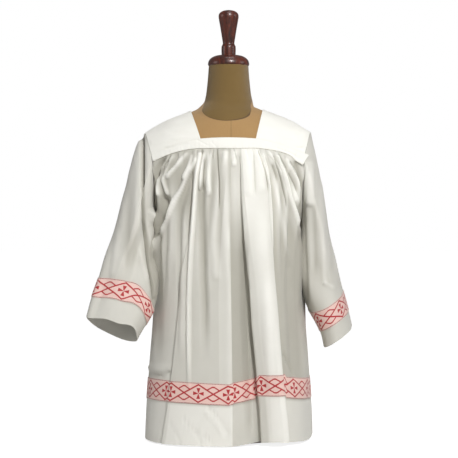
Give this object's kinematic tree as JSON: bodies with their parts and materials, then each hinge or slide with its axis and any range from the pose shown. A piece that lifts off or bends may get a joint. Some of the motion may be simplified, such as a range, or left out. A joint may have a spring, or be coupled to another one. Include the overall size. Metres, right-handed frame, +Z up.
{
  "type": "surplice on dress form",
  "caption": "Short white surplice with a square neck, gathered body, wide sleeves and patterned red bands, on a limbless linen dress form with a turned wooden neck cap.",
  "frame": {"origin": "on the floor, under the middle of the form's round base", "axes": "+Z up; -Y is the wearer's front; +X is the wearer's left"},
  "size_m": [0.674, 0.3774, 1.0721],
  "materials": {
    "white_cotton": "plain weave, matt",
    "woven_galloon": "woven red pattern on a pale pink ground",
    "linen_cover": "natural linen, matt",
    "mahogany": "dark, glossy varnish"
  },
  "bodies": {
    "root": {"body_front": "white_cotton", "body_back": "white_cotton", "yoke_front_band": "white_cotton", "yoke_back_band": "white_cotton", "yoke_shoulder_right": "white_cotton", "yoke_shoulder_left": "white_cotton", "sleeve_right": "white_cotton", "sleeve_left": "white_cotton", "hem_galloon_front": "woven_galloon", "hem_galloon_back": "woven_galloon", "cuff_galloon_right": "woven_galloon", "cuff_galloon_left": "woven_galloon", "form_torso": "linen_cover", "neck_cap": "mahogany", "neck_finial": "mahogany", "base_column": "mahogany", "base_plate": "mahogany"}
  },
  "joints": []
}
